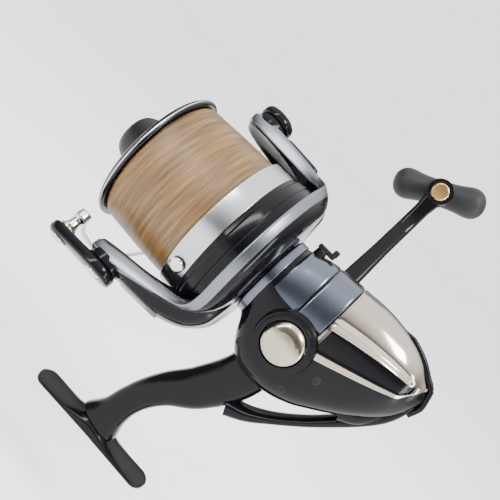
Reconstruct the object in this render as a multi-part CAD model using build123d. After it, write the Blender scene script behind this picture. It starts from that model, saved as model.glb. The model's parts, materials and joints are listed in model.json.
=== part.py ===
"""Large front-drag spinning reel, built as its real pieces.

Each piece is modelled about a working point on the spool axis, straight above the crank axis:
+X runs along the spool axis towards the rod tip, +Z away from the rod, +Y towards the cap side.
put() then carries it to the reel's own frame, whose origin is the centre of the foot's seat face.
Rotor and bail pieces are drawn with the rotor's arms along Z and turned to their rest angle.
All sizes are in millimetres.
"""
from build123d import *
from math import cos, pi, sin
import os

# ---- driving dimensions ----
AXIS_HEIGHT = 119.0        # spool axis above the foot's seat face
CRANK_X = -35.0            # crank axis behind the foot's centre
CRANK_Z = -12.0            # crank axis below the spool axis
FOOT_LENGTH = 76.0
FOOT_WIDTH = 17.0
ARM_TURN = 30.0            # rest angle of the rotor's arms about the spool axis

SHAFT_R = 2.5              # main shaft
RUN = 0.05                 # radial clearance of a running fit
SEAT = 0.02                # clearance of a fixed fit

PINION_R = 4.0             # pinion sleeve
PINION_TEETH = 10
BUSH_R = 4.55              # pinion's rear bush
GEAR_TEETH = 49
GEAR_R = 19.0              # drive gear
GEAR_SHAFT_R = 5.0
WORM_TEETH = 16
WORM_Y, WORM_Z = -8.5, 7.0
ROD_Y, ROD_Z, ROD_R = -1.0, 8.5, 1.4

NECK_R = 20.0
NECK_FRONT = 27.2
ROTOR_BACK = 27.6
PIVOT_X = 80.0             # bail pivots
LEVER_IN, LEVER_OUT = 54.3, 58.6
ROLLER_X, ROLLER_Y = 104.0, -3.0

SKIRT_BACK, SKIRT_R = 37.5, 40.0
BAND_BACK, BAND_FRONT, BAND_R = 49.6, 59.8, 38.0
LINE_BACK, LINE_FRONT = 60.0, 100.8
CORE_R = 25.0
LIP_FRONT, LIP_R = 104.4, 36.4
CHAMBER_R = 17.5           # drag chamber in the front of the spool
CHAMBER_FLOOR = 84.0
KNOB_TIP = 121.5
CLIP_ANGLE = -30.0         # line clip below the level of the spool axis, on the cap side

HANDLE_ARM = 96.0          # crank axis to knob axis
ARM_Y = -41.0              # middle plane of the crank arm at its root
ARM_BEND = 42.5            # how far the arm's end stands outside its root, to clear the bail wire
KNOB_LENGTH = 54.0         # T-bar knob
KNOB_LEAN = 26.5           # rest angle of the T-bar
CASE_Y = 18.5              # half width of the gear case
CAP_FACE = 22.5            # outer face of the boss on the cap side
SPLIT_Y = 13.0             # joint face between the frame and the side plate

os.makedirs("parts", exist_ok=True)


# ---- helpers ----
def xz(points):
    """A face in the XZ plane with straight edges through the points."""
    return make_face(Polyline(*[(x, 0, z) for x, z in points], close=True))


def slab(points, low, high):
    """A polygon of (x, z) points, drawn out along Y from low to high."""
    return Pos(0, low, 0) * extrude(xz(points), amount=high - low, dir=(0, 1, 0))


def plan(points, low, high):
    """A polygon of (x, y) points, drawn out along Z from low to high."""
    face = make_face(Polyline(*[(x, y, low) for x, y in points], close=True))
    return extrude(face, amount=high - low, dir=(0, 0, 1))


def section(points, start, end):
    """A polygon of (y, z) points, drawn out along X from start to end."""
    face = make_face(Polyline(*[(start, y, z) for y, z in points], close=True))
    return extrude(face, amount=end - start, dir=(1, 0, 0))


def along_x(radius, start, end, y=0.0, z=0.0):
    """A rod along X."""
    return Pos((start + end) / 2, y, z) * Rot(0, 90, 0) * Cylinder(radius, end - start)


def along_y(radius, start, end, x=0.0, z=0.0):
    """A rod along Y."""
    return Pos(x, (start + end) / 2, z) * Rot(90, 0, 0) * Cylinder(radius, end - start)


def along_z(radius, start, end, x=0.0, y=0.0):
    """A rod along Z."""
    return Pos(x, y, (start + end) / 2) * Cylinder(radius, end - start)


def turned(points):
    """A solid of revolution about the spool axis, from (x, radius) points."""
    return revolve(xz(points), Axis.X, 360)


def turned_y(points, x=0.0, z=0.0):
    """A solid of revolution about a line along Y, from (y, radius) points."""
    face = make_face(Polyline(*[(r, y, 0) for y, r in points], close=True))
    return Pos(x, 0, z) * revolve(face, Axis.Y, 360)


def turned_z(points, x=0.0, y=0.0):
    """A solid of revolution about a line along Z, from (z, radius) points."""
    return Pos(x, y, 0) * revolve(xz([(r, z) for z, r in points]), Axis.Z, 360)


def softened(shape, edges, radius):
    """The shape with edges rounded, at the largest of three radii that they take."""
    for share in (1.0, 0.7, 0.45):
        try:
            made = fillet(edges, radius * share)
        except ValueError:
            continue
        if made.is_valid:
            return made
    return shape


def toothed(teeth, tip, root, start, end):
    """A spur gear along X about the spool axis, with tapered teeth."""
    points = []
    for i in range(teeth):
        for share, radius in ((-0.28, root), (-0.14, tip), (0.14, tip), (0.28, root)):
            angle = 2 * pi * (i + share) / teeth
            points.append((radius * cos(angle), radius * sin(angle)))
    return section(points, start, end)


def ball_bearing(inner, outer, width):
    """A shielded bearing along X from x = 0, its shields sunk between the two rings."""
    low = inner + 0.28 * (outer - inner)
    high = inner + 0.74 * (outer - inner)
    sunk = 0.3
    return turned([(0, inner), (0, low), (sunk, low), (sunk, high), (0, high), (0, outer), (width, outer),
                   (width, high), (width - sunk, high), (width - sunk, low), (width, low), (width, inner)])


def screw(radius, head, length, shank):
    """A pan-head screw along X, its head's underside at x = 0 and its shank towards -X."""
    body = turned([(-length, 0), (-length, shank), (0, shank), (0, radius), (head * 0.6, radius),
                   (head, radius * 0.7), (head, 0)])
    for turn in (0, 90):
        body -= Pos(head, 0, 0) * Rot(turn, 0, 0) * Box(head, radius * 1.2, radius * 0.28)
    return body


def arms(shape):
    """A piece drawn with the rotor's arms along Z, turned to their rest angle."""
    return Rot(ARM_TURN, 0, 0) * shape


def put(name, *shapes):
    """Moves the solids to the reel's own frame and writes them as one node."""
    solids = [Pos(CRANK_X, 0, AXIS_HEIGHT) * s for shape in shapes for s in shape.solids()]
    export_step(solids[0] if len(solids) == 1 else Compound(children=solids), f"parts/{name}.step")


# ---- frame: gear case, neck, stem, keel and foot in one casting, and the side plate on it ----
CASE = [(12, 24), (-7.9, 26), (-7.9, -11), (-50, 4), (-57.4, 15.8), (-60, 15), (-59, 2), (-55, -7), (-36, -24),
        (-15, -38), (4, -40), (17, -34), (22.5, -20), (22.5, -8), (12, 2)]
CASE_PLAN = [(30, -17), (30, 17), (8, 18.5), (-14, 18.5), (-30, 17.5), (-47, 13.6), (-62, 5), (-62, -5),
             (-47, -13.6), (-30, -17.5), (-14, -18.5), (8, -18.5)]
SHOULDERS = [(-18.5, -28), (-18.5, 12), (-13, 26.5), (13, 26.5), (18.5, 12), (18.5, -28), (11, -41), (-11, -41)]
STEM = [(-60, 15), (-59.6, 2), (-56, -6), (-41, -27), (-23, -47), (6, -72), (18, -82), (23.5, -92), (25, -102),
        (25, -116), (43, -116), (41, -103), (35, -84), (27, -66), (16, -46), (14, -34), (-20, -26), (-49, -1),
        (-56, 13)]
KEEL_SLOT = [(-13.5, -44.5), (-14.8, -40.4), (-36.5, -23.0), (-41.5, -21.5), (-40.5, -25.0), (-20.5, -42.2)]
GEAR_ROOM = [(9, -31), (9, 21), (-9, 23), (-15.5, 5), (-15.5, -6), (-51, 7), (-46, -6), (-34, -17),
             (-14, -31)]
ROOM_PLAN = [(10, -14.8), (10, 14.8), (-14, 14.8), (-30, 14), (-45, 10.8), (-56, 4), (-56, -4), (-45, -10.8),
             (-30, -14), (-14, -14.8)]


def foot():
    """The rod foot: a long blade, thick under the stem, with a flat seat face."""
    half = FOOT_LENGTH / 2
    side = [(-half, 0), (half, 0), (half, 2.2), (15, 5.6), (6, 8.5), (-6, 8.5), (-15, 5.6), (-half, 2.2)]
    blade = slab(side, -FOOT_WIDTH / 2, FOOT_WIDTH / 2)
    blade = softened(blade, blade.edges().filter_by(Axis.Z), 6.0)
    return Pos(-CRANK_X, 0, -AXIS_HEIGHT) * blade


def casting():
    """The casting, with its gear room, bearing seats, shaft webs and keel slot."""
    case = slab(CASE, -CASE_Y, CASE_Y) & plan(CASE_PLAN, -50, 40) & section(SHOULDERS, -70, 40)
    stem = slab(STEM, -7.5, 7.5)
    stem = softened(stem, stem.edges().filter_by(Axis.Y, reverse=True), 3.0)
    stem -= plan([(-70, 4.6), (-70, 20), (-44, 20), (-53, 6)], -12, 40)
    stem -= plan([(-70, -4.6), (-70, -20), (-44, -20), (-53, -6)], -12, 40)
    whole = case + stem + foot() + along_x(NECK_R, 6, NECK_FRONT)
    whole += along_y(14.5, 0, CAP_FACE, 0, CRANK_Z) + along_y(12.5, -22, 0, 0, CRANK_Z)
    whole -= slab(KEEL_SLOT, -12, 12)
    whole -= slab(GEAR_ROOM, -15, 15) & plan(ROOM_PLAN, -60, 60)
    whole -= along_x(15, 5, 18.9) & slab([(5, -9), (5, 20), (20, 20), (20, -9)], -15, 15)
    whole -= along_y(GEAR_R + 0.6, 3.6, 12.8, 0, CRANK_Z)
    whole -= along_x(8 + SEAT, 18, 22.5) + along_x(13, 22.4, 30)
    whole -= along_y(8 + SEAT, -20.2, 0, 0, CRANK_Z) + along_y(5.6, -30, 0, 0, CRANK_Z)
    whole -= along_y(8 + SEAT, 0, 18.2, 0, CRANK_Z) + along_y(10 + SEAT, 18.1, 30, 0, CRANK_Z)
    front_web = slab([(2, -5.7), (2, 22), (4.8, 22), (4.8, -5.7)], -15.2, 3.4)
    front_web -= along_x(BUSH_R + SEAT, 0, 9) + along_x(1.6 + RUN, 0, 9, WORM_Y, WORM_Z)
    front_web -= along_x(ROD_R + SEAT, 0, 9, ROD_Y, ROD_Z)
    rear_web = slab([(-45.4, -3), (-45.4, 11.2), (-42.6, 11.2), (-42.6, -9)], -10.9, 3.4)
    rear_web -= along_x(1.6 + RUN, -60, -40, WORM_Y, WORM_Z) + along_x(ROD_R + SEAT, -60, -40, ROD_Y, ROD_Z)
    return whole + front_web + rear_web - along_z(1.3, 15.4, 24, 17.5, 0)


WINDOW = along_y(23.6, SPLIT_Y, 40, 0, CRANK_Z) - along_x(NECK_R + 1, 8, 40)
PLATE_SCREWS = [(13.7, -28.3), (-13.7, -28.3), (-21.2, -13.9)]
WHOLE = casting()
PLATE = WHOLE & WINDOW
BODY = WHOLE - WINDOW
for sx, sz in PLATE_SCREWS:
    PLATE -= along_y(1.2, 0, 40, sx, sz) + along_y(2.1, 16.6, 40, sx, sz)
    BODY -= along_y(1.2, 8, 20, sx, sz)
put("body_frame", BODY.solids().sort_by(SortBy.VOLUME)[-1])
put("side_plate", PLATE.solids().sort_by(SortBy.VOLUME)[-1])
put("plate_screws", *[Pos(sx, 16.62, sz) * Rot(0, 0, 90) * screw(2.0, 1.0, 8.0, 1.1) for sx, sz in PLATE_SCREWS])

# ---- tail shell, in plated metal, closing the gear room from above ----
COVER_OUT = [(-8.2, -10.6), (-8.2, 26), (-22, 27.4), (-36, 26.6), (-48, 22.6), (-57.2, 16.4), (-50, 4.5)]
COVER_IN = [(-7, -16), (-7, 23.8), (-22, 25.2), (-35, 24.4), (-46.5, 20.7), (-54.4, 15.6), (-51, 2)]
COVER_PLAN = [(0, -17.4), (0, 17.4), (-30, 16.8), (-46, 13.0), (-60, 4.4), (-60, -4.4), (-46, -13.0), (-30, -16.8)]
COVER_ROOM = [(0, -15.4), (0, 15.4), (-30, 14.8), (-45, 11.4), (-58, 3.0), (-58, -3.0), (-45, -11.4), (-30, -14.8)]
SHELL = slab(COVER_OUT, -18, 18) & plan(COVER_PLAN, -20, 40)
SHELL = softened(SHELL, SHELL.edges().filter_by(Axis.Z, reverse=True).group_by(Axis.Z)[-1], 4.0)
SHELL -= along_y(14.8, -30, 30, 0, CRANK_Z)
put("rear_cover", SHELL - (slab(COVER_IN, -18, 18) & plan(COVER_ROOM, -30, 40)))

# ---- neck ring, cap-side rings and cap ----
put("neck_collar", turned([(22.8, NECK_R + SEAT), (22.8, 21.2), (26.2, 21.2), (27.0, 20.6), (27.0, NECK_R + SEAT)]))
put("cap_ring", turned_y([(CAP_FACE + SEAT, 10.2), (CAP_FACE + SEAT, 13.6), (23.4, 13.6), (23.4, 12.2),
                          (24.4, 12.2), (24.4, 10.2)], 0, CRANK_Z))
CAP = turned_y([(18.6, 0), (18.6, 9.9), (24.2, 9.9), (25.4, 9.4), (26.4, 7.6), (27.0, 4.5), (27.2, 0)], 0, CRANK_Z)
put("handle_cap", CAP)

# ---- bearings, one-way clutch and guide rod ----
GEAR_BEARING = Rot(0, 0, 90) * ball_bearing(GEAR_SHAFT_R + RUN, 8.0, 4.0)
put("gear_bearings", Pos(0, -20.1, CRANK_Z) * GEAR_BEARING, Pos(0, 13.9, CRANK_Z) * GEAR_BEARING)
put("pinion_bearing", Pos(18.95, 0, 0) * ball_bearing(PINION_R + RUN, 8.0, 3.5))
put("pinion_bush", turned([(2.0, PINION_R + RUN), (2.0, BUSH_R), (4.8, BUSH_R), (4.8, PINION_R + RUN)]))
put("roller_clutch", turned([(22.7, 6.9), (22.7, 12.98), (26.9, 12.98), (26.9, 11.0), (26.5, 10.6), (26.5, 6.9)]))
put("guide_rod", along_x(ROD_R, -45.2, 4.6, ROD_Y, ROD_Z))

# ---- anti-reverse lever on top of the neck ----
put("anti_reverse_lever", along_z(1.25, 15.6, 25, 17.5, 0) + along_z(3.0, 20.4, 24.9, 17.5, 0)
    + Pos(15.4, 0, 26) * Box(9.5, 3.4, 2.4) + Pos(12.2, 0, 28.2) * Box(3.0, 3.4, 3.2))

# ---- crank: drive gear and shaft, handle shank, arm and knob spindle ----
DISC = turned_y([(4.9, 6.5), (4.9, GEAR_R - 4.6), (4.7, GEAR_R - 4.5), (4.7, GEAR_R), (7.6, GEAR_R),
                 (9.2, GEAR_R - 3), (9.2, 8.5), (11.8, 8.5), (11.8, 6.5)])
GROOVES = [Rot(0, 360 * i / GEAR_TEETH, 0) * Pos(GEAR_R - 2, 4.9, 0) * Box(5.4, 1.0, 1.1) for i in range(GEAR_TEETH)]
DISC -= Compound(children=GROOVES)
BARREL = turned_y([(-20.0, 3.1), (-20.0, GEAR_SHAFT_R), (-15.6, GEAR_SHAFT_R), (-15.6, 6.0), (4.9, 6.0),
                   (4.9, 6.6), (11.8, 6.6), (13.6, 6.2), (13.6, GEAR_SHAFT_R), (17.9, GEAR_SHAFT_R), (17.9, 3.1)])
put("drive_gear", Pos(0, 0, CRANK_Z) * (DISC + BARREL))
SHANK = turned_y([(16.0, 0), (16.0, 3.05), (-20.6, 3.05), (-20.6, 5.2), (-22.6, 5.2), (-22.6, 8.2), (-25.5, 8.6),
                  (-29.5, 7.2), (-31.0, 5.6), (-36.2, 5.2), (-36.2, 0)], 0, CRANK_Z)
SHANK += Pos(0, -40.9, CRANK_Z) * Box(9.6, 9.6, 4.6)
SHANK -= along_x(1.52, -6, 6, -42.5, CRANK_Z)
put("handle_shank", SHANK)
ARM_SIDE = [(-6.4, -18.5), (6.4, -18.5), (6.8, -8), (5.6, 12), (4.4, 40), (4.2, 66), (5.6, 78), (-5.6, 78),
            (-4.2, 66), (-4.4, 40), (-5.6, 12), (-6.8, -8)]
ARM_BEND_LINE = [(-37.0, -20), (-44.6, -20), (-44.6, -4.5), (-44.1 - ARM_BEND, 62), (-43.8 - ARM_BEND, 94),
                 (-38.8 - ARM_BEND, 94), (-37.5 - ARM_BEND, 61), (-37.0, -4)]
ARM = slab(ARM_SIDE, -100, ARM_Y + 4.4) & section(ARM_BEND_LINE, -20, 20)
KNOB_Z = CRANK_Z + HANDLE_ARM
END_Y = -ARM_BEND
ARM += along_y(7.4, END_Y - 44.2, END_Y - 38.2, 0, KNOB_Z)
ARM -= Pos(0, -40.9, CRANK_Z + 1.2) * Box(10.2, 14, 8.6)
ARM -= along_x(1.52, -20, 20, -42.5, CRANK_Z)
ARM -= along_y(2.6, END_Y - 50, END_Y - 30, 0, KNOB_Z) + along_y(5.2, END_Y - 40.2, END_Y - 30, 0, KNOB_Z)
put("handle_arm", softened(ARM, ARM.edges().filter_by(Axis.Z).group_by(SortBy.LENGTH)[-1], 1.0))
put("fold_pin", along_x(1.5, -6.9, 6.9, -42.5, CRANK_Z))
SPINDLE = turned_y([(-37.9, 0), (-37.9, 4.4), (-38.6, 5.15), (-40.15, 5.15), (-40.15, 2.58), (-44.25, 2.58),
                    (-44.25, 4.2), (-45.4, 4.2), (-45.4, 2.0), (-66.0, 2.0), (-66.0, 0)], 0, KNOB_Z)
put("knob_spindle", Pos(0, END_Y, 0) * SPINDLE)
KNOB_BEARING = Rot(0, 0, 90) * ball_bearing(2.0 + RUN, 4.5, 3.0)
put("knob_bearings", Pos(0, END_Y - 49.0, KNOB_Z) * KNOB_BEARING, Pos(0, END_Y - 65.5, KNOB_Z) * KNOB_BEARING)

# ---- knob: rubber T-bar over the spindle ----
HALF = KNOB_LENGTH / 2
BAR = turned([(-HALF, 0), (-HALF, 5.0), (-HALF + 1.6, 7.8), (-HALF + 6, 9.2), (-9, 8.2), (9, 8.2),
              (HALF - 6, 9.2), (HALF - 1.6, 7.8), (HALF, 5.0), (HALF, 0)])
BAR = Pos(0, -60.5, KNOB_Z) * Rot(0, KNOB_LEAN, 0) * BAR
GRIP = BAR + turned_y([(-45.8, 0), (-45.8, 6.2), (-50, 6.8), (-56, 8.0), (-60, 8.0), (-60, 0)], 0, KNOB_Z)
GRIP -= along_y(4.52, -66.0, -40, 0, KNOB_Z)
put("knob_grip", Pos(0, END_Y, 0) * GRIP)

# ---- rotor ----
BASE = [(ROTOR_BACK, PINION_R + SEAT), (ROTOR_BACK, 33), (29.4, 39), (33, 43.2), (42, 45.4), (42, 42.8), (37, 41.9),
        (33.4, 38.6), (31.6, 33), (31.6, 9.5), (35.6, 9.5), (35.6, PINION_R + SEAT)]
ARM_SECTION = [(31, 42.6), (40, 48.6), (50, 51.6), (62, 53), (86, 53), (89.5, 51), (90.5, 48), (89.0, 45.2),
               (60, 44.0), (36, 42.2)]
ARM_PLAN = [(28, -33), (28, 33), (34, 30), (42, 22), (52, 15), (64, 11.4), (84, 9.2), (91, 6), (91, -6),
            (84, -9.2), (64, -11.4), (52, -15), (42, -22), (34, -30)]
ROTOR = turned(BASE) + (turned(ARM_SECTION) & plan(ARM_PLAN, -60, 60))
for sign in (1, -1):
    ROTOR += along_z(8.6, min(sign * 46, sign * 54), max(sign * 46, sign * 54), PIVOT_X, 0)
    ROTOR -= along_z(1.72, min(sign * 47, sign * 60), max(sign * 47, sign * 60), PIVOT_X, 0)
    ROTOR -= Pos(58, 0, sign * 53.5) * Box(22.2, 13.2, 6.2)
put("rotor", arms(ROTOR))
COVER_BLANK = turned([(47, 51.0), (47, 51.6), (52, 53.6), (62, 54.0), (69, 54.0), (69, 51.0)])
COVERS = [COVER_BLANK & (Pos(58, 0, sign * 52) * Box(22.0, 13.0, 8)) for sign in (1, -1)]
COVERS = [Pos(0, 0, sign * 0.1) * c for sign, c in zip((1, -1), COVERS)]
put("arm_covers", *[arms(c) for c in COVERS])
put("pinion_gear", toothed(PINION_TEETH, 4.4, 3.6, 5.2, 15.4) + along_x(PINION_R, 2, 5.3) + along_x(PINION_R, 15.3, 39.5)
    - along_x(SHAFT_R + 0.1, 0, 45))
put("clutch_sleeve", turned([(22.7, PINION_R + SEAT), (22.7, 6.6), (27.4, 6.6), (27.4, PINION_R + SEAT)]))
put("rotor_nut", section([(8 * cos(pi * k / 3), 8 * sin(pi * k / 3)) for k in range(6)], 35.7, 39.3)
    - along_x(PINION_R + SEAT, 30, 45))
put("balance_weight", arms(turned([(31.7, 22), (31.7, 32), (35.0, 32), (35.0, 22)])
                           & Pos(33, 27, 0) * Box(6, 14, 16)))
PIVOT_SCREW = turned_z([(47.2, 0), (47.2, 1.7), (54.1, 1.7), (54.1, 2.6), (57.6, 2.6), (57.6, 4.6), (58.8, 4.6),
                        (59.3, 3.6), (59.3, 0)], PIVOT_X, 0) - Pos(PIVOT_X, 0, 59.3) * Box(6, 0.9, 0.9)
put("pivot_screws", arms(PIVOT_SCREW), arms(Rot(180, 0, 0) * PIVOT_SCREW))

# ---- bail: lever, cam lever, wire and line roller ----
LEVER_PLAN = [(70.5, -4), (70.5, 4), (74, 8.6), (80, 10), (87, 8.4), (98, 4.6), (107, 3.0), (110.5, -0.5),
              (110.5, -5.5), (106, -8.6), (98, -7.8), (87, -8.4), (80, -10), (74, -8.6)]
LEVER = plan(LEVER_PLAN, -LEVER_OUT, -LEVER_IN)
LEVER = softened(LEVER, LEVER.edges().filter_by(Axis.Z), 2.0)
LEVER -= along_z(2.7, -60, -50, PIVOT_X, 0) + along_z(4.9, -60, -57.4, PIVOT_X, 0)
LEVER -= along_z(1.62, -60, -50, ROLLER_X, ROLLER_Y)
put("bail_lever", arms(LEVER))
CAM_PLAN = [(70.5, -4), (70.5, 4), (74, 8.6), (80, 10), (86, 8.6), (89.5, 4), (89.0, -6), (85.5, -19), (77.5, -19),
            (72, -9)]
CAM = plan(CAM_PLAN, LEVER_IN, LEVER_OUT)
CAM = softened(CAM, CAM.edges().filter_by(Axis.Z), 2.0)
CAM -= along_z(2.7, 50, 60, PIVOT_X, 0) + along_z(4.9, 57.4, 60, PIVOT_X, 0)
CAM -= Pos(81.5, -18, 56.5) * Rot(90, 0, 0) * Cylinder(1.05, 9)
put("bail_cam", arms(CAM))
HOLDER = along_z(3.6, -46.2, -42.2, ROLLER_X, ROLLER_Y) - along_z(1.62, -50, -40, ROLLER_X, ROLLER_Y)
WIRE_CURVE = Spline((ROLLER_X, ROLLER_Y - 3, -44.2), (102.5, -22, -47), (97, -48, -42), (90, -69, -23),
                    (85.5, -76, 0), (83, -70, 27), (82, -52, 45), (81.6, -30, 55), (81.5, -14, 56.5),
                    tangents=[(0, -1, -0.1), (0, 1, 0)])
WIRE_PATH = Polyline(*[WIRE_CURVE @ (i / 26) for i in range(27)])
WIRE = sweep(Plane(origin=WIRE_PATH @ 0, z_dir=WIRE_PATH % 0) * Circle(1.0), path=WIRE_PATH,
             transition=Transition.RIGHT)
put("bail_wire", arms(HOLDER + WIRE))
put("roller_pin", arms(turned_z([(-42.0, 0), (-42.0, 1.6), (-58.7, 1.6), (-58.7, 3.4), (-59.8, 3.4), (-60.4, 2.4),
                                 (-60.4, 0)], ROLLER_X, ROLLER_Y)))
put("line_roller", arms(turned_z([(-54.0, 1.7), (-54.0, 4.4), (-53.2, 4.4), (-51.6, 3.0), (-49.0, 2.7), (-47.6, 3.0),
                                  (-46.6, 3.9), (-46.6, 1.7)], ROLLER_X, ROLLER_Y)))

# ---- worm drive and the slider that carries the main shaft ----
GROOVED = [(1.6, 0), (1.6, 2.6)]
for k in range(16):
    GROOVED += [(0.6 - 2.6 * k, 2.6), (0.1 - 2.6 * k, 1.9), (-0.9 - 2.6 * k, 1.9), (-1.4 - 2.6 * k, 2.6)]
WORM = turned(GROOVED + [(-42.2, 2.6), (-42.2, 0)])
put("worm_shaft", Pos(0, WORM_Y, WORM_Z) * (WORM + along_x(1.6, -45.2, 9.4)))
put("worm_gear", Pos(0, WORM_Y, WORM_Z) * (toothed(WORM_TEETH, 6.3, 5.0, 5.2, 8.8) - along_x(1.62, 0, 20)))
SLIDER = section([(-12.0, 3.2), (-4.4, -4.2), (4.2, -4.2), (4.2, 11.2), (-12.0, 11.2)], -41.5, -34.5)
SLIDER -= along_x(SHAFT_R + SEAT, -50, -30) + along_x(2.95, -50, -30, WORM_Y, WORM_Z)
SLIDER -= along_x(ROD_R + RUN, -50, -30, ROD_Y, ROD_Z)
put("slider", SLIDER)

# ---- main shaft and what it carries besides the spool ----
put("main_shaft", along_x(SHAFT_R, -41.5, 112.5))
put("spool_seat", turned([(43.2, SHAFT_R + SEAT), (43.2, 7.5), (45.0, 7.5), (45.0, 5.0), (61.4, 5.0),
                          (61.4, SHAFT_R + SEAT)]))
PLATES = [turned([(x, SHAFT_R + SEAT), (x, 16.2), (x + 0.8, 16.2), (x + 0.8, SHAFT_R + SEAT)])
          for x in (85.5, 88.5, 91.5)]
put("drag_plates", *PLATES)

# ---- spool ----
SPOOL = [(SKIRT_BACK + 12.1, 35.6), (SKIRT_BACK + 12.1, 37.2), (LINE_BACK, 37.2), (LINE_BACK, CORE_R),
         (LINE_FRONT, CORE_R), (LINE_FRONT, 33.0), (102.4, 33.0), (102.4, CHAMBER_R), (CHAMBER_FLOOR, CHAMBER_R),
         (CHAMBER_FLOOR, 6.2), (62.0, 6.2), (62.0, 11.0), (80.0, 11.0), (80.0, 22.0), (58.0, 22.0), (57.0, 35.6)]
put("spool", turned(SPOOL))
put("spool_skirt", turned([(SKIRT_BACK, 38.4), (SKIRT_BACK, 39.6), (38.4, SKIRT_R), (47.5, 39.2), (49.4, 38.6),
                           (49.4, 35.6), (44, 35.6), (44, 37.6)]))
put("skirt_band", turned([(BAND_BACK, 37.22), (BAND_BACK, BAND_R), (BAND_FRONT, BAND_R), (BAND_FRONT, 37.22)])
    - Rot(CLIP_ANGLE, 0, 0) * along_y(2.32, 30, 45, 54.7, 0))
put("spool_lip", turned([(LINE_FRONT + 0.05, 33.05), (LINE_FRONT + 0.05, 35.8), (101.6, LIP_R), (103.2, LIP_R),
                         (LIP_FRONT, 35.2), (LIP_FRONT, 31.0), (103.6, CHAMBER_R), (102.45, CHAMBER_R),
                         (102.45, 33.05)]))
put("line_pack", turned([(LINE_BACK + 0.1, CORE_R + SEAT), (LINE_BACK + 0.1, 35.6), (62, 36.0), (80, 35.4),
                         (99.5, 34.4), (LINE_FRONT - 0.1, 33.8), (LINE_FRONT - 0.1, CORE_R + SEAT)]))
CLIP = turned_y([(37.25, 0), (37.25, 2.3), (38.7, 2.3), (38.7, 3.6), (39.4, 3.6), (40.2, 2.6), (40.5, 0)], 54.7, 0)
put("line_clip", Rot(CLIP_ANGLE, 0, 0) * CLIP)
put("spool_bearings", Pos(63.0, 0, 0) * ball_bearing(SHAFT_R + RUN, 6.18, 4.0),
    Pos(78.0, 0, 0) * ball_bearing(SHAFT_R + RUN, 6.18, 4.0))
WASHERS = [turned([(x, 3.2), (x, 17.3), (x + 1.3, 17.3), (x + 1.3, 3.2)]) for x in (84.1, 86.75, 89.75)]
put("drag_washers", *WASHERS)
put("drag_clip", turned([(98.0, 16.0), (98.0, 17.45), (99.2, 17.45), (99.2, 16.0)])
    - Pos(98.6, 17, 0) * Box(3, 6, 5))

# ---- drag knob ----
KNOB = turned([(104.9, 0), (104.9, 15.2), (106.6, 16.2), (110.0, 16.0), (112.0, 13.6), (117.5, 11.6),
               (120.4, 9.6), (KNOB_TIP, 6.5), (KNOB_TIP, 0)])
for k in range(12):
    KNOB -= Rot(30 * k + 15, 0, 0) * along_x(2.2, 100, 110.2, 0, 17.6)
put("drag_knob", KNOB - along_x(7.2, 100, 111.8) - along_x(SHAFT_R + RUN, 100, 113.6))
put("drag_nut", section([(7.0 * cos(pi * k / 3), 7.0 * sin(pi * k / 3)) for k in range(6)], 107.2, 111.6)
    - along_x(SHAFT_R + RUN, 100, 115))
SPRING = [Pos(x, 0, 0) * Rot(0, 90, 0) * Torus(5.6, 0.7) for x in (94.6, 95.9, 97.2, 98.5, 99.8, 101.1, 102.4, 103.7)]
COIL = SPRING[0]
for ring in SPRING[1:]:
    COIL += ring
put("drag_spring", COIL)
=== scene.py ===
"""Spinning reel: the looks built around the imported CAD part.

Shapes are written in millimetres about a working point on the spool axis, straight above the crank
axis, and place() carries them to the reel's own frame in metres. Rotor and bail shapes are written
with the rotor's arms along Z and are turned to their rest angle by arms().
"""
import json
import math

import bpy
import numpy as np
from mathutils import Matrix, Vector


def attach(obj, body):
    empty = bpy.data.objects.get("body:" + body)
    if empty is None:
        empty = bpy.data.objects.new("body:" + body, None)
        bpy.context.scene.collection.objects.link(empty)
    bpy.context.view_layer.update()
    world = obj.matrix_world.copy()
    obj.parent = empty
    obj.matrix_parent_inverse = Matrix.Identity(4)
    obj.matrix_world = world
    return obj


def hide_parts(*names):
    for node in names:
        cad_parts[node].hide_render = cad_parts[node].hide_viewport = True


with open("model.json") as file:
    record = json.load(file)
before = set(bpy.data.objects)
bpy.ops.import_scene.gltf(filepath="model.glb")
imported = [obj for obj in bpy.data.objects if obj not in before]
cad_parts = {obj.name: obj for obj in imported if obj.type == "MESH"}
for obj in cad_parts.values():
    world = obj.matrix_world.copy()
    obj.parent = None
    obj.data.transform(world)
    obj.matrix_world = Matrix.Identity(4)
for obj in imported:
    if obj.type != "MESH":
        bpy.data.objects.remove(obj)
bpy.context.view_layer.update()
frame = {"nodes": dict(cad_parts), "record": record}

CRANK_X, AXIS_HEIGHT, CRANK_Z = -35.0, 119.0, -12.0

# ---- the body casting: gear case, neck, stem with its keel, and foot ----
# Black-lacquered cast alloy in one piece. The case flows into the neck in front and the tail behind; the
# stem leaves it below, with a thin keel that runs back to the tail and leaves a slot under the case.


def place(points):
    """Working millimetres to the reel's frame in metres."""
    return (np.asarray(points, float) + (CRANK_X, 0, AXIS_HEIGHT)) / 1000


def build(name, parts, body, material, nodes=(), turn=None, sharp=40):
    """One object from (points, faces) or (points, faces, material index) parts, riding on a body."""
    points, faces, tags, base = [], [], [], 0
    for part_points, part_faces, *tag in parts:
        points.append(part_points)
        faces += [[i + base for i in face] for face in part_faces]
        tags.append(np.broadcast_to(tag[0] if tag else 0, len(part_faces)))
        base += len(part_points)
    points = np.vstack(points)
    if turn:
        points = turn(points)
    mesh = bpy.data.meshes.new(name)
    mesh.from_pydata(place(points).tolist(), [], faces)
    mesh.polygons.foreach_set("use_smooth", [True] * len(faces))
    mesh.polygons.foreach_set("material_index", np.concatenate(tags).astype(np.int32))
    mesh.set_sharp_from_angle(angle=math.radians(sharp))
    for finish in material if isinstance(material, list) else [material]:
        mesh.materials.append(finish)
    obj = bpy.data.objects.new(name, mesh)
    bpy.context.scene.collection.objects.link(obj)
    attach(obj, body)
    if nodes:
        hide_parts(*nodes)
    return obj


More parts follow.
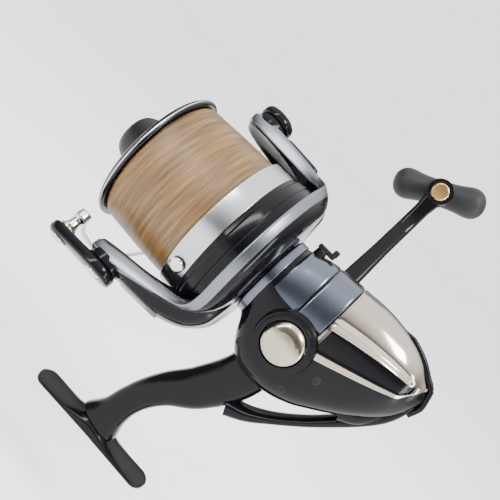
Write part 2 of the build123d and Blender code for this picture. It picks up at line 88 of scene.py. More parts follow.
def outward(part):
    """The same closed part with its faces turned to point outwards, so that the signed volumes of the
    pyramids from the origin to its triangles add up to more than nothing."""
    points, faces = np.asarray(part[0], float), part[1]
    fans = np.array([(face[0], face[i], face[i + 1]) for face in faces for i in range(1, len(face) - 1)])
    a, b, c = points[fans].transpose(1, 0, 2)
    if np.sum(a * np.cross(b, c)) < 0:
        faces = [face[::-1] for face in faces]
    return points, faces


def bands(numbers):
    """Quads between neighbouring rows of point numbers, each row a closed loop."""
    here, there = numbers[:-1], numbers[1:]
    return np.stack([here, there, np.roll(there, -1, 1), np.roll(here, -1, 1)], -1).reshape(-1, 4)


def loft(rings):
    """A closed skin through rings of equal length, with a flat fan from the middle of each end ring."""
    rings = np.asarray(rings, float)
    m, n = rings.shape[:2]
    numbers = np.arange(m * n).reshape(m, n)
    first, last = numbers[0], numbers[-1]
    start = np.column_stack([np.full(n, m * n), first, np.roll(first, -1)])
    end = np.column_stack([np.full(n, m * n + 1), np.roll(last, -1), last])
    points = np.vstack([rings.reshape(-1, 3), rings[0].mean(0), rings[-1].mean(0)])
    return points, bands(numbers).tolist() + start.tolist() + end.tolist()


def around(rings):
    """A closed skin through rings of equal length whose last ring joins the first."""
    rings = np.asarray(rings, float)
    numbers = np.arange(rings.shape[0] * rings.shape[1]).reshape(rings.shape[:2])
    after = np.roll(numbers, -1, 0)
    faces = np.stack([numbers, np.roll(numbers, -1, 1), np.roll(after, -1, 1), after], -1)
    return rings.reshape(-1, 3), faces.reshape(-1, 4).tolist()


def wall(outer, inner):
    """A closed wall between two sheets of points, each stations by columns: both sheets, the two side
    edges that join them, and a strip of quads at each end."""
    loops = np.concatenate([outer, np.asarray(inner)[:, ::-1]], axis=1)
    m, n = loops.shape[:2]
    numbers = np.arange(m * n).reshape(m, n)
    k = np.arange(n // 2 - 1)
    start = np.column_stack([k, k + 1, n - 2 - k, n - 1 - k])
    end = numbers[-1, 0] + np.column_stack([k + 1, k, n - 1 - k, n - 2 - k])
    return loops.reshape(-1, 3), np.vstack([bands(numbers), start, end]).tolist()


def rounded(points, radius, closed=True, steps=5):
    """A polygon whose corners are replaced by arcs, each as large as its two edges allow."""
    pts = [np.asarray(p, float) for p in points]
    out = []
    count = len(pts)
    for i, p in enumerate(pts):
        if not closed and i in (0, count - 1):
            out.append(p)
            continue
        a, b = pts[i - 1] - p, pts[(i + 1) % count] - p
        la, lb = np.linalg.norm(a), np.linalg.norm(b)
        cut = min(radius, 0.45 * la, 0.45 * lb)
        start, end = p + a / la * cut, p + b / lb * cut
        for t in np.linspace(0, 1, steps):
            out.append((1 - t) ** 2 * start + 2 * t * (1 - t) * p + t * t * end)
    return np.array(out)


def lathe(profile, axis="x", at=(0, 0, 0), count=128, round_by=0.3, closed=True):
    """A profile of (along, radius) points turned about an axis; a closed profile makes a ring,
    an open one runs from axis to axis."""
    prof = rounded(profile, round_by, closed)
    angle = np.linspace(0, 2 * math.pi, count, endpoint=False)
    along = np.repeat(prof[:, 0][:, None], count, 1)
    u = prof[:, 1][:, None] * np.cos(angle)
    v = prof[:, 1][:, None] * np.sin(angle)
    grid = {"x": (along, u, v), "y": (v, along, u), "z": (u, v, along)}[axis]
    rings = np.stack(grid, -1) + np.asarray(at, float)
    if closed:
        return outward(around(rings))
    return outward(loft(rings[1:-1] if prof[0, 1] == 0 else rings))


def smooth_path(points, count):
    """A Catmull-Rom curve through the points, resampled to count equal steps."""
    p = np.asarray(points, float)
    p = np.vstack([2 * p[0] - p[1], p, 2 * p[-1] - p[-2]])
    out = []
    for i in range(1, len(p) - 2):
        t = np.linspace(0, 1, 24, endpoint=False)[:, None]
        a, b, c, d = p[i - 1:i + 3]
        out.append(0.5 * (2 * b + (c - a) * t + (2 * a - 5 * b + 4 * c - d) * t ** 2
                          + (3 * b - a - 3 * c + d) * t ** 3))
    out = np.vstack([*out, p[-2]])
    length = np.concatenate([[0], np.cumsum(np.linalg.norm(np.diff(out, axis=0), axis=1))])
    steps = np.linspace(0, length[-1], count)
    return np.column_stack([np.interp(steps, length, out[:, k]) for k in range(p.shape[1])])


def superellipse(half_a, half_b, power, count=64):
    """Points (a, b) of a rounded rectangle: |a|^power + |b|^power = 1, scaled by the two half sizes."""
    t = np.linspace(0, 2 * math.pi, count, endpoint=False)
    c, s = np.cos(t), np.sin(t)
    return np.column_stack([half_a * np.sign(c) * np.abs(c) ** (2 / power),
                            half_b * np.sign(s) * np.abs(s) ** (2 / power)])


def shader_group(name, inputs, output):
    """A node group with value and vector inputs and one output; returns it and its two end nodes."""
    group = bpy.data.node_groups.new(name, "ShaderNodeTree")
    for label, kind in inputs:
        group.interface.new_socket(label, in_out="INPUT", socket_type=kind)
    group.interface.new_socket(output[0], in_out="OUTPUT", socket_type=output[1])
    return group, group.nodes.new("NodeGroupInput"), group.nodes.new("NodeGroupOutput")


UNEVEN_GLOSS, entry, leave = shader_group(
    "uneven_gloss",
    [("Place", "NodeSocketVector"), ("Low", "NodeSocketFloat"), ("High", "NodeSocketFloat")],
    ("Roughness", "NodeSocketFloat"))
cloud = UNEVEN_GLOSS.nodes.new("ShaderNodeTexNoise")
cloud.inputs["Scale"].default_value = 90
cloud.inputs["Detail"].default_value = 4
spread = UNEVEN_GLOSS.nodes.new("ShaderNodeMapRange")
UNEVEN_GLOSS.links.new(entry.outputs["Place"], cloud.inputs["Vector"])
UNEVEN_GLOSS.links.new(cloud.outputs["Fac"], spread.inputs["Value"])
UNEVEN_GLOSS.links.new(entry.outputs["Low"], spread.inputs["To Min"])
UNEVEN_GLOSS.links.new(entry.outputs["High"], spread.inputs["To Max"])
UNEVEN_GLOSS.links.new(spread.outputs["Result"], leave.inputs["Roughness"])

FINE_GRAIN, entry, leave = shader_group(
    "fine_grain", [("Place", "NodeSocketVector"), ("Strength", "NodeSocketFloat")],
    ("Normal", "NodeSocketVector"))
specks = FINE_GRAIN.nodes.new("ShaderNodeTexNoise")
specks.inputs["Scale"].default_value = 1800
specks.inputs["Detail"].default_value = 3
relief = FINE_GRAIN.nodes.new("ShaderNodeBump")
relief.inputs["Distance"].default_value = 0.0001
FINE_GRAIN.links.new(entry.outputs["Place"], specks.inputs["Vector"])
FINE_GRAIN.links.new(specks.outputs["Fac"], relief.inputs["Height"])
FINE_GRAIN.links.new(entry.outputs["Strength"], relief.inputs["Strength"])
FINE_GRAIN.links.new(relief.outputs["Normal"], leave.inputs["Normal"])


def finish_material(name, colour, metallic, roughness, shine=0.5, grain=0.0, aniso=0.0):
    """A plain surface with a faint uneven gloss, and a fine grain in its normal where asked."""
    finish = bpy.data.materials.new(name)
    finish.use_nodes = True
    tree = finish.node_tree
    bsdf = tree.nodes["Principled BSDF"]
    bsdf.inputs["Base Color"].default_value = (*colour, 1)
    bsdf.inputs["Metallic"].default_value = metallic
    bsdf.inputs["Specular IOR Level"].default_value = shine
    bsdf.inputs["Anisotropic"].default_value = aniso
    coord = tree.nodes.new("ShaderNodeTexCoord")
    gloss = tree.nodes.new("ShaderNodeGroup")
    gloss.node_tree = UNEVEN_GLOSS
    gloss.inputs["Low"].default_value = roughness * 0.85
    gloss.inputs["High"].default_value = roughness * 1.2
    tree.links.new(coord.outputs["Object"], gloss.inputs["Place"])
    tree.links.new(gloss.outputs["Roughness"], bsdf.inputs["Roughness"])
    if grain:
        fine = tree.nodes.new("ShaderNodeGroup")
        fine.node_tree = FINE_GRAIN
        fine.inputs["Strength"].default_value = grain
        tree.links.new(coord.outputs["Object"], fine.inputs["Place"])
        tree.links.new(fine.outputs["Normal"], bsdf.inputs["Normal"])
    return finish


BLACK = finish_material("gloss_black", (0.003, 0.003, 0.004), 0.0, 0.13, shine=0.13)
CASE_STATIONS = [-60, -57.5, -54, -48, -40, -30, -20, -8, 4, 12, 18, 23, 27.2]
CASE_LINES = {
    "top": [14.0, 16.4, 18.6, 22.4, 25.4, 27.0, 27.3, 26.2, 25.0, 23.6, 21.8, 20.4, 20.0],
    "low": [4.0, -2.0, -8.0, -14.0, -21.0, -28.5, -35.0, -39.4, -40.0, -37.0, -30.5, -22.0, -20.0],
    "wide": [3.5, 6.0, 8.8, 13.0, 16.0, 17.6, 18.4, 18.6, 18.4, 18.2, 18.6, 19.6, 20.0],
    "power": [2.0, 2.1, 2.2, 2.4, 2.5, 2.6, 2.7, 2.7, 2.6, 2.5, 2.3, 2.05, 2.0],
}
CASE_X = np.linspace(-60, 27.2, 240)
EASED = {}
for line, heights in CASE_LINES.items():
    curve = smooth_path(np.column_stack([CASE_STATIONS, heights]), 400)
    EASED[line] = np.interp(CASE_X, curve[:, 0], curve[:, 1])
SPLIT = ([-60, -57.4, -50, -8.0], [12.5, 14.2, 4.2, -10.8])


def case_at(x):
    """The case's top, lowest height, half width and corner power at x."""
    return [np.interp(x, CASE_X, EASED[line]) for line in CASE_LINES]


def case_arc(x, grow, count=90):
    """The part of the case's rounded outline at x that lies below the split line."""
    top, low, wide, power = case_at(x)
    top, low, wide = top + grow, low - grow, max(wide + grow, 0.6)
    middle, high = (top + low) / 2, (top - low) / 2
    level = np.clip((np.interp(x, *SPLIT) - middle) / high, -0.999, 0.999)
    start = math.asin(np.sign(level) * abs(level) ** (power / 2))
    t = np.linspace(math.pi - start, 2 * math.pi + start, count)
    c, s = np.cos(t), np.sin(t)
    y = wide * np.sign(c) * np.abs(c) ** (2 / power)
    z = middle + high * np.sign(s) * np.abs(s) ** (2 / power)
    return np.column_stack([np.full(count, x), y, z])


def full_ring(x, grow=0.0, count=112):
    """A whole cross-section of the case at x."""
    top, low, wide, power = case_at(x)
    top, low = top + grow, low - grow
    ring = superellipse(wide + grow, (top - low) / 2, power, count)
    return np.column_stack([np.full(count, x), ring[:, 0], ring[:, 1] + (top + low) / 2])


REAR_X = np.linspace(-60, -8.1, 90)
FRONT_X = np.linspace(-8.1, 27.2, 70)
REAR = outward(wall([case_arc(x, 0) for x in REAR_X], [case_arc(x, -2.0) for x in REAR_X]))
FRONT = outward(around([full_ring(x) for x in FRONT_X] + [full_ring(x, -2.5) for x in FRONT_X[::-1]]))


def limb(path, wide, thick, power=2.6, count=48):
    """A limb in the XZ plane: rounded sections square to a smooth path, wide in its plane, thick in Y."""
    line = smooth_path(np.column_stack([path, wide, thick]), 90)
    centre = line[:, :2]
    tangent = np.gradient(centre, axis=0)
    tangent /= np.linalg.norm(tangent, axis=1)[:, None]
    rings = []
    for k in range(len(line)):
        ring = superellipse(line[k, 2], line[k, 3], power, count)
        x = centre[k, 0] - tangent[k, 1] * ring[:, 0]
        z = centre[k, 1] + tangent[k, 0] * ring[:, 0]
        rings.append(np.column_stack([x, ring[:, 1], z]))
    return outward(loft(rings))


STEM = limb([(-1, -22), (3, -44), (12, -62), (22, -74), (28, -84), (31.5, -94), (33, -103), (34.5, -112)],
            [11, 11, 10.2, 8.3, 7.4, 7.2, 8.0, 11.5], [9.5, 8.4, 7.6, 7.2, 7.0, 6.8, 7.0, 8.0])
KEEL = limb([(-3, -58), (-12, -53.5), (-22, -45.5), (-32, -35.8), (-40, -26.6), (-48, -16.5), (-54.5, -7),
             (-58, 2), (-58.8, 11)],
            [4.5, 3.4, 2.4, 2.3, 2.6, 3.0, 2.8, 2.0, 1.3], [7.0, 6.6, 6.0, 5.8, 5.6, 5.2, 4.6, 4.2, 3.8])
BRIDGE = limb([(-38, -18), (-45, -14), (-52, -6)], [7, 6, 4], [9, 7.5, 5])


def foot():
    """The rod foot: at each station along X, a flat bottom with squared sides and a top that rises
    to a crease in the middle. It is thick under the stem and tapers to thin rounded blades."""
    rings = []
    for t in np.linspace(-1, 1, 97):
        x = 38 * math.sin(t * math.pi / 2)
        end = max(0.0, 1 - ((abs(x) - 32) / 6) ** 2) if abs(x) > 32 else 1.0
        wide = max(0.4, 8.5 * math.sqrt(end)) * (1.0 - 0.10 * (1 - abs(x) / 38))
        side = 1.7 + 2.6 * math.exp(-(x / 13) ** 2)
        crest = 2.2 + 6.3 * math.exp(-(x / 11) ** 2) + 0.9 * (1 - abs(x) / 38)
        if abs(x) > 36.5:
            side = min(side, 2.2)
        crest = min(crest, 2.2 + 40 * max(0, 37.9 - abs(x)) / 38)
        slope = crest * 0.82 + side * 0.18
        flat = [(-wide + 0.5, 0), (wide - 0.5, 0), (wide, 0.5), (wide, side), (wide * 0.55, slope),
                (0, crest + 0.01), (-wide * 0.55, slope), (-wide, side), (-wide, 0.5)]
        ring = rounded(flat, 0.8, True, 4)
        rings.append(np.column_stack([np.full(len(ring), x + 35), ring[:, 0], ring[:, 1] - AXIS_HEIGHT]))
    return outward(loft(rings))


CAP_AT = (0, 0, CRANK_Z)
CAP_BOSS = lathe([(8, 14.4), (20.6, 14.4), (22.5, 13.6), (22.5, 10.1), (8, 10.1)], "y", CAP_AT, round_by=0.8)
CRANK_BOSS = lathe([(-8, 12.4), (-21, 12.4), (-22, 11.4), (-22, 5.7), (-8, 5.7)], "y", CAP_AT, round_by=0.8)
build("body_shell", [REAR, FRONT, STEM, KEEL, BRIDGE, foot(), CAP_BOSS, CRANK_BOSS], "body", BLACK,
      ["body_frame", "side_plate"])

# ---- tail shell: champagne-plated cover over the rear of the gear room ----
# Plated metal with a recess pressed into its lower flank, whose faces are given gloss black inside a plated rim. A
# long flute with a sharp lower edge is pressed in above the recess, and a black spine of the casting stands a little
# proud round the tail.
CHAMPAGNE = finish_material("champagne_plate", (0.36, 0.315, 0.265), 1.0, 0.14)
RISE = np.array([0, 0.02, 0.05, 0.075, 0.09, 0.10, 0.12, 0.16, 0.24, 0.32, 0.38, 0.41, 0.425, 0.435, 0.45, 0.47,
                 0.49, 0.51, 0.53, 0.55, 0.57, 0.59, 0.61, 0.63, 0.66, 0.70, 0.74, 0.78, 0.82, 0.86, 0.90, 0.93,
                 0.955, 0.975, 0.99, 0.998])
RECESS = (5, 13)


def flank(z, top, low, wide, power):
    """The case's half breadth at height z: y = wide * (1 - |(z - middle) / high|^p)^(1/p)."""
    return wide * (1 - np.abs((z - (top + low) / 2) / ((top - low) / 2)) ** power) ** (1 / power)


def cover_sheet(x, under=0.0):
    """The cover's section at x, a quarter of a millimetre proud of the case, drawn by its share of the
    height from the split line to the crown, with the recess and the flute pressed in."""
    top, low, wide, power = case_at(x)
    crown = top + 0.25
    level = np.interp(x, *SPLIT) + 0.35
    z = level + (crown - level) * RISE
    y = flank(z, crown, low, wide + 0.25, power)
    recess_ends = np.clip((x + 54) / 2, 0, 1) * np.clip((-9.5 - x) / 1.0, 0, 1)
    y = y - 1.1 * recess_ends * np.clip((RISE - 0.09) / 0.012, 0, 1) * np.clip((0.44 - RISE) / 0.012, 0, 1)
    flute_ends = np.clip((x + 51) / 3, 0, 1) * np.clip((-8 - x) / 2, 0, 1)
    y = y - 1.3 * np.exp(-((RISE - 0.53) / 0.05) ** 2) * flute_ends
    y = np.maximum(y - under, 0.3)
    z = z - under * RISE
    return np.column_stack([np.full(2 * len(z), x), np.concatenate([y, -y[::-1]]), np.concatenate([z, z[::-1]])])


COVER_X = np.concatenate([np.linspace(-57.0, -53.1, 8), np.linspace(-53.0, -9.6, 80), [-9.4, -8.9, -8.4]])
COVER = outward(wall([cover_sheet(x) for x in COVER_X], [cover_sheet(x, 1.6) for x in COVER_X]))
COLUMNS = 2 * len(RISE)
column = np.arange(2 * COLUMNS)
from_edge = np.minimum(column, COLUMNS - 2 - column)
# the faces of the recess in the lower flank, between the rim and the flute, take gloss black (material index one)
black_recess_faces = (column < COLUMNS - 1) & (from_edge >= RECESS[0]) & (from_edge < RECESS[1])
along = (COVER_X[:-1] > -53.2) & (COVER_X[:-1] < -9.5)
BLACK_RECESS_FACES = np.zeros(len(COVER[1]), int)
BLACK_RECESS_FACES[:len(along) * len(column)] = np.outer(along, black_recess_faces).ravel()
build("tail_shell", [(*COVER, BLACK_RECESS_FACES)], "body", [CHAMPAGNE, BLACK], ["rear_cover"], sharp=25)
SPINE = []
for t in np.linspace(0, 1, 60):
    x = -33 - 26.4 * math.sin(t * math.pi / 2)
    lift = (1.2 + 1.2 * t) * min(1.0, t * 8)
    SPINE.append((x, np.interp(x, CASE_X, EASED["top"]) + lift - 1.2, 1.8 + 2.0 * t))
SPINE += [(-61.6, 8.5, 3.8), (-61.4, 5.5, 3.6), (-60.0, 1.0, 3.2)]
SPINE = smooth_path(SPINE, 80)
SPINE_RINGS = []
slope = np.gradient(SPINE[:, :2], axis=0)
slope /= np.linalg.norm(slope, axis=1)[:, None]
for (x, z, wide), (dx, dz) in zip(SPINE, slope):
    ring = superellipse(1.5, wide, 3.0, 32)
    SPINE_RINGS.append(np.column_stack([x - dz * ring[:, 0], ring[:, 1], z + dx * ring[:, 0]]))
build("tail_spine", [outward(loft(SPINE_RINGS))], "body", BLACK)

# ---- side plate screws and the anti-reverse lever ----
# Black steel screws seated in the near flank. The lever is black-lacquered alloy on a short post over the
# neck, where a thumb can reach it.
SATIN_BLACK = finish_material("satin_black", (0.006, 0.006, 0.007), 0.0, 0.36, shine=0.2, grain=0.1)


def plate(outline, low, high, round_by=1.0, edge=0.6, axis="z"):
    """A flat plate from a rounded outline, with its rims rolled over by edge."""
    flat = rounded(outline, round_by, True, 6)
    centre = flat.mean(0)
    rings = []
    for level, inset in ((low, edge), (low + edge * 0.3, edge * 0.3), (low + edge, 0), (high - edge, 0),
                         (high - edge * 0.3, edge * 0.3), (high, edge)):
        reach = np.linalg.norm(flat - centre, axis=1)[:, None]
        ring = centre + (flat - centre) * (1 - inset / reach)
        rings.append(np.column_stack([ring, np.full(len(ring), level)]))
    points, faces = loft(rings)
    if axis == "y":
        points = points[:, [0, 2, 1]]
    return outward((points, faces))


SCREWS = []
for x, z in ((13.7, -28.3), (-13.7, -28.3), (-21.2, -13.9)):
    y = flank(z, *case_at(x))
    head = [(y - 1.5, 0), (y - 1.5, 2.0), (y + 0.25, 2.0), (y + 0.5, 1.7), (y + 0.5, 0.7), (y + 0.1, 0)]
    SCREWS.append(lathe(head, "y", (x, 0, z), 48, 0.15, False))
build("flank_screws", SCREWS, "body", SATIN_BLACK, ["plate_screws"])
LEVER_POST = lathe([(19.9, 0), (19.9, 3.0), (23.6, 2.7), (25.4, 2.4), (25.4, 0)], "z", (17.5, 0, 0), 48, 0.3, False)
BLADE = plate([(20.6, -1.6), (20.6, 1.6), (16, 1.9), (11.2, 1.7), (11.2, -1.7), (16, -1.9)], 24.9, 27.1, 1.0, 0.5)
TAB = plate([(13.6, -1.7), (13.6, 1.7), (10.8, 1.7), (10.8, -1.7)], 26.4, 29.7, 0.8, 0.6)
build("reverse_lever", [LEVER_POST, BLADE, TAB], "lever", SATIN_BLACK, ["anti_reverse_lever"])

# ---- neck ring and the blue-grey saddle over the front of the case ----
# Satin blue-grey metal. The ring is pressed on the neck; the saddle lies on the case's shoulders in two
# lengths with a dark seam between them.
GUNMETAL = finish_material("gunmetal", (0.10, 0.112, 0.138), 1.0, 0.22)
SADDLE = []
for low, high in ((-7.6, 5.6), (6.2, 20.5)):
    stations = np.linspace(low, high, 26)
    lifts = 0.55 * np.sqrt(np.clip(np.minimum(stations - low, high - stations) / 0.8, 0.02, 1.0))
    SADDLE.append(outward(wall([full_ring(x, lift, 160)[4:77] for x, lift in zip(stations, lifts)],
                               [full_ring(x, -1.0, 160)[4:77] for x in stations])))
build("shoulder_saddle", SADDLE, "body", GUNMETAL)
NECK_RING = [(22.6, 20.0), (22.6, 21.2), (26.4, 21.2), (27.0, 20.6), (27.0, 20.0)]
build("neck_ring", [lathe(NECK_RING)], "body", GUNMETAL, ["neck_collar"])

# ---- cap on the near side: stepped black ring and domed nickel cap ----
# The ring is black-lacquered alloy; the cap is nickel-plated, screwed into the boss, with a spun finish.
SPUN = finish_material("spun_nickel", (0.36, 0.31, 0.245), 1.0, 0.17, aniso=0.5)
STEP = [(22.4, 10.2), (22.4, 13.7), (23.4, 13.7), (23.4, 12.3), (24.4, 12.3), (24.4, 10.2)]
build("cap_step", [lathe(STEP, "y", CAP_AT, round_by=0.25)], "body", BLACK, ["cap_ring"])
DOME = [(20, 0), (20, 9.8), (24.6, 9.8), (25.3, 9.3), (26.2, 8.0), (26.8, 5.5), (27.1, 2.8), (27.2, 0)]
build("cap_dome", [lathe(DOME, "y", CAP_AT, round_by=0.6, closed=False)], "body", SPUN, ["handle_cap"])

# ---- rotor: a cup with two arms, drawn as one sheet whose front edge sweeps out along the arms ----
# Black-lacquered alloy with a bright blue-grey machined face along its whole front edge. Satin covers
# are screwed to the arms, and a boss at each arm's end carries the bail's pivot.
ARM_TURN = math.radians(30)
GUN_EDGE = finish_material("gunmetal_edge", (0.15, 0.16, 0.18), 1.0, 0.27)
CUP = [(27.6, 9.5), (27.6, 22), (27.6, 31), (28.3, 36.6), (30.2, 40.8), (32.6, 43.2), (36.4, 45.2),
       (37.4, 44.8), (37.4, 43.0), (35.6, 42.2), (33.6, 40.6), (32.4, 37.4), (31.8, 32), (31.6, 22), (31.6, 9.5)]
ARM = [(27.6, 9.5), (27.6, 22), (28.0, 31), (30.0, 39.5), (38.0, 47.6), (54.0, 52.4), (85.5, 53.4),
       (89.6, 51.6), (89.8, 48.0), (86.0, 45.4), (60.0, 44.3), (40.0, 43.0), (33.4, 35), (31.6, 22), (31.6, 9.5)]
EDGE_BAND = (35, 48)
PIVOT_AT = (80, 0, 0)


def arms(points):
    """Turns points drawn with the rotor's arms along Z to the arms' rest angle about the spool axis."""
    x, y, z = np.asarray(points, float).T
    c, s = math.cos(ARM_TURN), math.sin(ARM_TURN)
    return np.column_stack([x, y * c - z * s, y * s + z * c])


def rotor_skin():
    """The cup's profile blended into the arm's profile by the weight 1 / (1 + (angle from the arm / 12.8)^4.6),
    with a little fullness at the arm's root; the edge band's faces carry material index one."""
    share = np.linspace(-1, 1, 241)[:-1]
    half = np.pi / 2 * np.sign(share) * (0.28 * np.abs(share) + 0.72 * np.abs(share) ** 2.2)
    angle = np.concatenate([half, half + np.pi])[:, None]
    cup, arm = [np.vstack([smooth_path(lines[:7], 40), smooth_path(lines[6:9], 9)[1:],
                           smooth_path(lines[8:], 34)[1:]]) for lines in (CUP, ARM)]
    off = np.degrees(np.abs((angle + np.pi / 2) % np.pi - np.pi / 2))
    weight = 1 / (1 + (off / 12.8) ** 4.6)
    root = 1 / (1 + (off / 34) ** 6)
    x = cup[:, 0] * (1 - weight) + arm[:, 0] * weight
    radius = cup[:, 1] * (1 - weight) + arm[:, 1] * weight
    outside = np.arange(len(cup)) < 42
    radius = radius + 1.6 * (root - weight) * np.clip((x - 29) / 10, 0, 1) * outside
    skin = outward(around(np.stack([x, -radius * np.sin(angle), radius * np.cos(angle)], -1)))
    edge = (np.arange(len(cup)) >= EDGE_BAND[0]) & (np.arange(len(cup)) < EDGE_BAND[1])
    return *skin, np.tile(edge, len(angle)).astype(int)


PIVOT_BOSSES = [lathe([(s * 50, 0), (s * 50, 8.6), (s * 54.0, 8.6), (s * 54.0, 0)], "z", PIVOT_AT, 64, 0.5, False)
                for s in (1, -1)]
build("rotor_shell", [rotor_skin(), *PIVOT_BOSSES], "rotor", [BLACK, GUN_EDGE], ["rotor"], arms, 50)
PANEL = plate([(47, -6.4), (69, -6.4), (69, 6.4), (47, 6.4)], 50.0, 51.9, 3.0, 0.5)
PANEL[0][:, 2] += (PANEL[0][:, 0] - 47) * 0.055
FAR_PANEL = outward((PANEL[0] * (1, 1, -1), PANEL[1]))
build("arm_panels", [PANEL, FAR_PANEL], "rotor", SATIN_BLACK, ["arm_covers"], arms)

# ---- bail: near lever, far cam lever, wire and line roller ----
# Black-lacquered levers on nickel pivot screws. The wire is bright steel; the roller is hard-plated.
STEEL = finish_material("steel", (0.5, 0.5, 0.51), 1.0, 0.25)
NICKEL = finish_material("nickel", (0.62, 0.59, 0.55), 1.0, 0.12)
ROLLER_AT = (104, -3, 0)


def tube(path, radius, sides=20):
    """A round tube along a path; the radius is one number or one per point."""
    p = np.asarray(path, float)
    radius = np.broadcast_to(radius, len(p))
    tangent = np.gradient(p, axis=0)
    tangent /= np.linalg.norm(tangent, axis=1)[:, None]
    side = np.cross(tangent[0], (0.13, 0.21, 0.97))
    rings = []
    angle = np.linspace(0, 2 * math.pi, sides, endpoint=False)[:, None]
    for k in range(len(p)):
        side = side - tangent[k] * np.dot(side, tangent[k])
        side /= np.linalg.norm(side)
        other = np.cross(tangent[k], side)
        rings.append(p[k] + radius[k] * (np.cos(angle) * side + np.sin(angle) * other))
    return outward(loft(rings))


LEVER = [(70.8, -3), (70.8, 3), (74, 8.2), (80, 9.8), (88, 8.4), (99, 5.4), (107, 3.2), (110.4, -0.5),
         (110.2, -5.4), (106, -8.4), (98, -8.0), (88, -8.6), (80, -9.8), (74, -8.2)]
LEVER_BLADE = plate(LEVER, -59.2, -54.3, 3.0, 1.3)
TIP = lathe([(-54.4, 0), (-54.4, 6.2), (-59.4, 5.6), (-59.9, 4.2), (-59.9, 0)], "z", ROLLER_AT, 64, 0.7, False)
build("near_lever", [LEVER_BLADE, TIP], "bail", BLACK, ["bail_lever"], arms, 50)
CAM = [(70.8, -3), (70.8, 3), (74, 8.2), (80, 9.8), (86, 8.2), (89.2, 3), (88.4, -8), (85, -19),
       (78, -19), (72.5, -9)]
CAM_BLADE = plate(CAM, 54.3, 59.4, 3.0, 1.4)
SLEEVE = tube(smooth_path([(81.5, -15.5, 56.7), (81.6, -22, 56.3), (82, -27, 55.2)], 12),
              [2.3] * 8 + [2.2, 2.0, 1.7, 1.4])
build("far_lever", [CAM_BLADE, SLEEVE], "bail", BLACK, ["bail_cam"], arms, 50)
WIRE = smooth_path([(104, -5.5, -44.2), (102.5, -22, -47), (97, -48, -42), (90, -69, -23), (85.5, -76, 0),
                    (83, -70, 27), (82, -52, 45), (81.6, -30, 55), (81.5, -15, 56.6)], 220)
HOLDER = lathe([(-46.2, 1.65), (-46.2, 3.6), (-42.2, 3.0), (-42.2, 1.65)], "z", ROLLER_AT, 64, 0.5)
build("wire_hoop", [tube(WIRE, 1.0, 24), HOLDER], "bail", STEEL, ["bail_wire"], arms)
SCREW = [(-42, 0), (-42, 1.6), (-58.6, 1.6), (-58.6, 3.5), (-60.3, 3.3), (-61.0, 2.2), (-61.0, 0)]
build("roller_screw", [lathe(SCREW, "z", ROLLER_AT, 64, 0.35, False)], "bail", NICKEL, ["roller_pin"], arms)
ROLLER = [(-54.0, 1.75), (-54.0, 4.4), (-53.2, 4.4), (-51.6, 3.0), (-49.0, 2.7), (-47.6, 3.0), (-46.6, 3.9),
          (-46.6, 1.75)]
build("roller", [lathe(ROLLER, "z", ROLLER_AT, 96, 0.25)], "roller", NICKEL, ["line_roller"], arms)
HEADS = [lathe([(s * 55, 0), (s * 55, 4.5), (s * 59.6, 4.5), (s * 60.4, 3.4), (s * 60.4, 0)], "z", PIVOT_AT, 64, 0.3,
               False) for s in (1, -1)]
build("pivot_heads", HEADS, "rotor", NICKEL, ["pivot_screws"], arms)

# ---- spool: skirt, band, core and lip ----
# Turned alloy, fixed together: a gloss black skirt, a bright band, and a dark lip with a bright rim. The
# skirt has one fine groove round it.
SILVER = finish_material("silver_alloy", (0.40, 0.41, 0.43), 1.0, 0.22)
ANODISED = finish_material("dark_anodised", (0.022, 0.023, 0.028), 1.0, 0.22)
SKIRT = [(33.4, 37.4), (33.4, 39.6), (34.4, 40.0), (41.5, 40.0), (42.0, 39.6), (42.5, 40.0), (46.8, 39.4),
         (47.2, 38.8), (49.45, 38.4), (49.45, 35.5), (44, 35.5)]
build("skirt", [lathe(SKIRT, round_by=0.35, count=256)], "spool", BLACK, ["spool_skirt"])
build("band", [lathe([(49.6, 36), (49.6, 38.0), (59.8, 38.0), (59.8, 36)], round_by=0.3, count=256)], "spool",
      SILVER, ["skirt_band"])
LIP = [(100.85, 30), (100.85, 35.7), (101.6, 36.4), (103.1, 36.4), (104.4, 35.0), (104.2, 31), (103.4, 24),
       (103.0, 17.6), (101.5, 17.6), (101.5, 30)]
build("lip", [lathe(LIP, round_by=0.35, count=256)], "spool", ANODISED, ["spool_lip"])
build("lip_rim", [lathe([(101.9, 36.0), (101.9, 36.6), (102.6, 36.6), (102.9, 36.0)], round_by=0.2, count=256)],
      "spool", SILVER)

# ---- line: one pack of wound golden-brown nylon ----
# Nylon monofilament wound in crossing layers. Its ridges and their sideways drift are in the normal
# and in the colour, where the grooves between windings get painted shade over random streaks of tone; the pack's
# edges sag a little at both ends.
LINE = bpy.data.materials.new("wound_line")
LINE.use_nodes = True
tree = LINE.node_tree
bsdf = tree.nodes["Principled BSDF"]
coord = tree.nodes.new("ShaderNodeTexCoord")
split = tree.nodes.new("ShaderNodeSeparateXYZ")
tree.links.new(coord.outputs["Object"], split.inputs[0])


def maths(kind, a, b=None):
    """One maths node on sockets or numbers."""
    n = tree.nodes.new("ShaderNodeMath")
    n.operation = kind
    for i, v in enumerate((a, b)):
        if v is None:
            continue
        if isinstance(v, (int, float)):
            n.inputs[i].default_value = v
        else:
            tree.links.new(v, n.inputs[i])
    return n.outputs[0]


